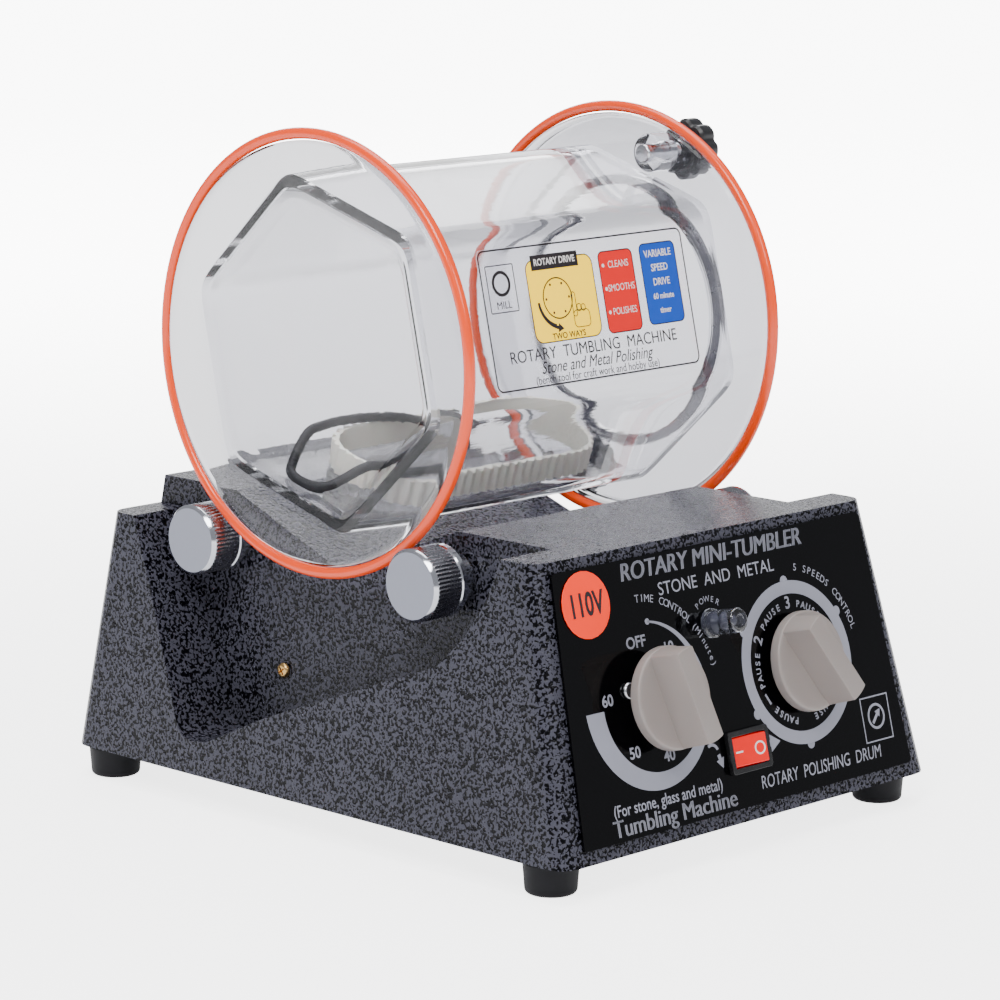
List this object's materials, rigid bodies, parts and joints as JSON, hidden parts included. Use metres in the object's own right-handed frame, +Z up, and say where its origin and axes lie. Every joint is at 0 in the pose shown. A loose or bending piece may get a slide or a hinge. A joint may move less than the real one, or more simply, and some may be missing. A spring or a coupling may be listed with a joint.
{
  "type": "rotary rock tumbler",
  "caption": "Bench rotary tumbler: a clear hexagonal barrel on rubber-tired discs turns on knurled rollers over a sloped base with timer, speed dial and rocker switch.",
  "frame": {"origin": "on the surface it stands on, under the middle of the whole machine", "axes": "+X along the barrel towards its lidded mouth, +Y from the control panel to the back, +Z up"},
  "size_m": [0.1958, 0.2708, 0.2488],
  "materials": {
    "hammertone_paint": "hammertone",
    "panel_gloss": "gloss",
    "sticker_orange": "gloss",
    "zinc_plate": "satin",
    "black_plastic": "satin",
    "steel": "satin",
    "roller_chrome": "polished and knurled",
    "brass": "satin",
    "knob_grey": "satin",
    "rocker_red": "gloss",
    "lamp_lens": "clear gloss",
    "clear_plastic": "clear gloss",
    "label_print": "printed film",
    "tire_orange": "gloss",
    "black_rubber": "matte",
    "belt_cream": "satin"
  },
  "bodies": {
    "housing": {"base_housing": "hammertone_paint", "control_panel": "panel_gloss", "voltage_sticker": "sticker_orange", "timer_unit": "zinc_plate", "timer_screw_1": "steel", "timer_screw_2": "steel", "speed_switch": "black_plastic", "pilot_lamp": "lamp_lens", "switch_housing": "black_plastic", "cord_grommet": "black_rubber", "side_screw_left": "brass", "side_screw_right": "brass", "bottom_cover": "zinc_plate", "gear_motor": "zinc_plate", "motor_bracket": "zinc_plate", "speed_transformer": "black_plastic", "drive_belt": "belt_cream", "bearing_front_left": "brass", "bearing_front_right": "brass", "bearing_rear_left": "brass", "bearing_rear_right": "brass", "foot_front_left": "black_rubber", "foot_front_right": "black_rubber", "foot_rear_left": "black_rubber", "foot_rear_right": "black_rubber", "foot_screw_front_left": "steel", "foot_screw_front_right": "steel", "foot_screw_rear_left": "steel", "foot_screw_rear_right": "steel"},
    "barrel": {"barrel_tube": "clear_plastic", "closed_end_disc": "clear_plastic", "mouth_disc": "clear_plastic", "tire_left": "tire_orange", "tire_right": "tire_orange", "barrel_label": "label_print", "spare_drive_belt": "belt_cream", "spare_seal_ring": "black_rubber", "lid_stud_1": "steel", "lid_stud_2": "steel"},
    "lid": {"lid": "clear_plastic", "lid_gasket": "black_rubber"},
    "lid_knob_1": {"lid_knob_1": "black_plastic"},
    "lid_knob_2": {"lid_knob_2": "black_plastic"},
    "front_roller_shaft": {"front_shaft": "steel", "driven_pulley": "black_plastic", "roller_front_left": "roller_chrome", "roller_front_right": "roller_chrome", "set_screw_front_left": "steel", "set_screw_front_right": "steel"},
    "rear_roller_shaft": {"rear_shaft": "steel", "roller_rear_left": "roller_chrome", "roller_rear_right": "roller_chrome", "set_screw_rear_left": "steel", "set_screw_rear_right": "steel"},
    "motor_pulley": {"motor_pulley": "black_plastic"},
    "timer": {"timer_spindle": "steel", "timer_knob": "knob_grey"},
    "speed": {"speed_spindle": "steel", "speed_knob": "knob_grey"},
    "rocker": {"rocker_button": "rocker_red"}
  },
  "joints": [
    {"name": "barrel_spin", "type": "hinge", "parent": "housing", "child": "barrel", "pos_m": [0.0012, 0.02223, 0.1687], "axis": [1, 0, 0], "continuous": true},
    {"name": "front_shaft_spin", "type": "hinge", "parent": "housing", "child": "front_roller_shaft", "pos_m": [0, -0.03502, 0.0949], "axis": [1, 0, 0], "continuous": true},
    {"name": "rear_shaft_spin", "type": "hinge", "parent": "housing", "child": "rear_roller_shaft", "pos_m": [0, 0.07948, 0.0949], "axis": [1, 0, 0], "continuous": true},
    {"name": "motor_pulley_spin", "type": "hinge", "parent": "housing", "child": "motor_pulley", "pos_m": [-0.045, 0.07323, 0.0475], "axis": [1, 0, 0], "continuous": true},
    {"name": "timer_turn", "type": "hinge", "parent": "housing", "child": "timer", "pos_m": [-0.0428, -0.11578, 0.06159], "axis": [0, -0.9705, 0.2412], "range_deg": [-270, 0]},
    {"name": "speed_turn", "type": "hinge", "parent": "housing", "child": "speed", "pos_m": [0.0344, -0.11171, 0.0614], "axis": [0, -0.9705, 0.2412], "range_deg": [-180, 150]},
    {"name": "rocker_rock", "type": "hinge", "parent": "housing", "child": "rocker", "pos_m": [0, -0.11235, 0.03518], "axis": [0, 0.2412, 0.9705], "range_deg": [0, 14]},
    {"name": "lid_slide", "type": "slide", "parent": "barrel", "child": "lid", "axis": [1, 0, 0], "range_m": [0, 0.04]},
    {"name": "lid_knob_1_turn", "type": "hinge", "parent": "lid", "child": "lid_knob_1", "pos_m": [0.092, -0.00251, 0.2315], "axis": [1, 0, 0], "continuous": true},
    {"name": "lid_knob_2_turn", "type": "hinge", "parent": "lid", "child": "lid_knob_2", "pos_m": [0.092, 0.04697, 0.1059], "axis": [1, 0, 0], "continuous": true}
  ],
  "couplings": [
    {"joint": "front_shaft_spin", "follows": "barrel_spin", "ratio": -6.1107},
    {"joint": "rear_shaft_spin", "follows": "barrel_spin", "ratio": -6.1107},
    {"joint": "motor_pulley_spin", "follows": "barrel_spin", "ratio": -4.9996}
  ]
}
